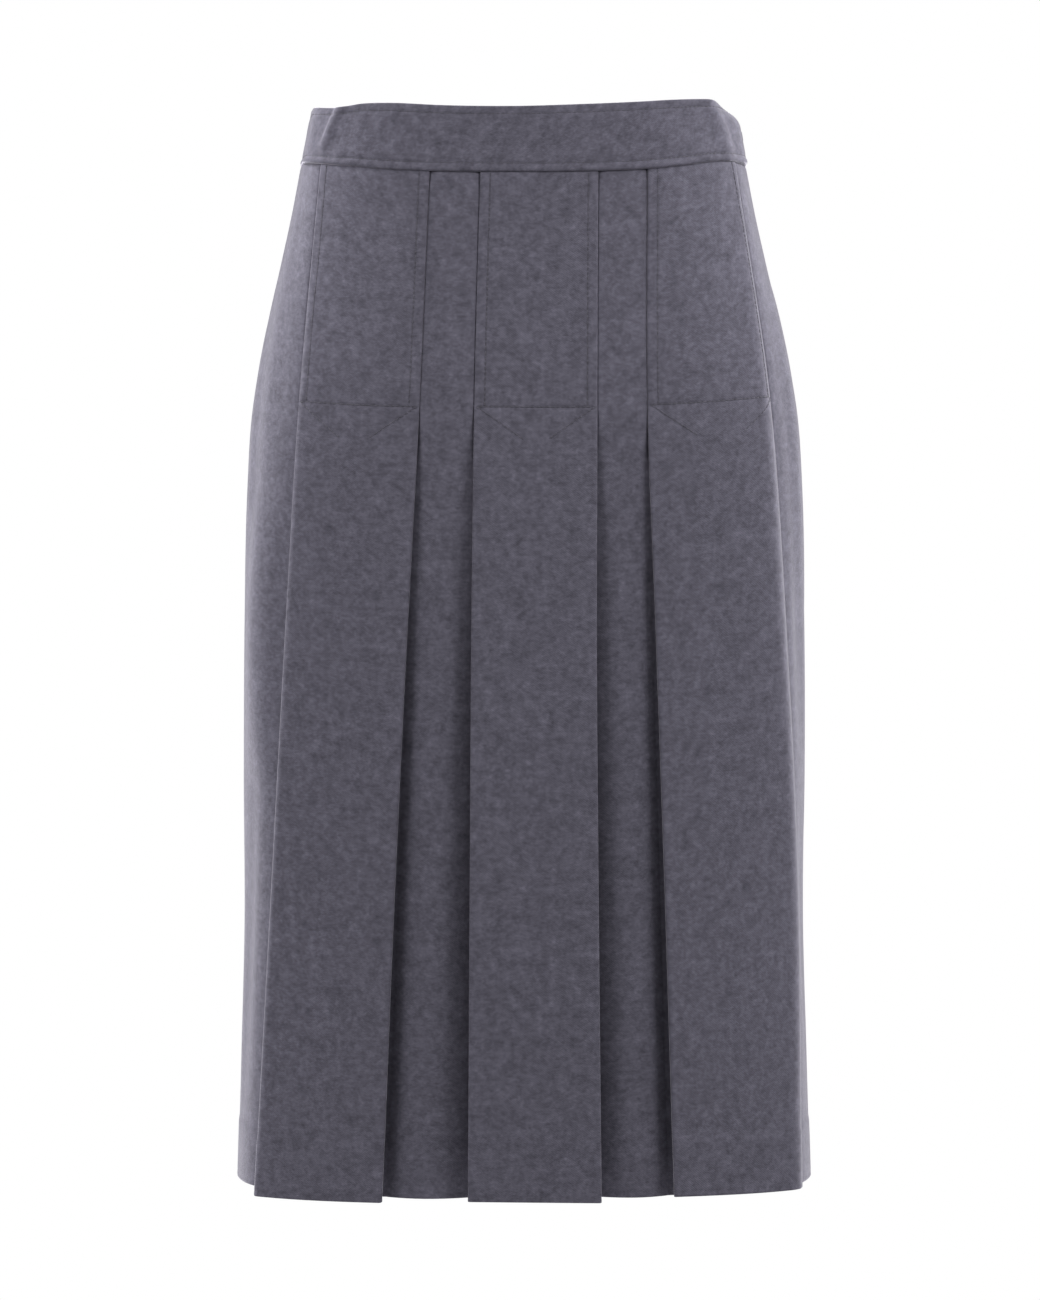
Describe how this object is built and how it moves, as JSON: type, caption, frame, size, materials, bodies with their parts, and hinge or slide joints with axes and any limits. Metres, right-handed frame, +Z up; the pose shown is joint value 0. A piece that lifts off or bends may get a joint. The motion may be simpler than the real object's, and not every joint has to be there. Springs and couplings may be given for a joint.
{
  "type": "pleated midi skirt",
  "caption": "Knee-length wool flannel skirt with wide stitched-down box pleats at the front, a plain back, a set-on waistband and a concealed side zip with a hinged pull.",
  "frame": {"origin": "middle of the waist opening, halfway up the waistband at the side seams", "axes": "+Z up along the length of the skirt, -Y to the pleated front, +X to the wearer's left, where the zip is"},
  "size_m": [0.3816, 0.2907, 0.717],
  "materials": {
    "grey_flannel": "napped wool flannel, charcoal grey, matt",
    "zip_tape": "woven polyester tape, matt",
    "zip_metal": "dark lacquered zinc, satin"
  },
  "bodies": {
    "skirt": {"skirt_front": "grey_flannel", "skirt_back": "grey_flannel", "waistband": "grey_flannel", "zip_tape_front": "zip_tape", "zip_tape_back": "zip_tape", "zip_slider": "zip_metal"},
    "pull": {"zip_pull": "zip_metal"}
  },
  "joints": [
    {"name": "zip_pull_hinge", "type": "hinge", "parent": "skirt", "child": "pull", "pos_m": [0.14667, 0, 0.00081], "axis": [0, -1, 0], "range_deg": [0, 140]}
  ]
}
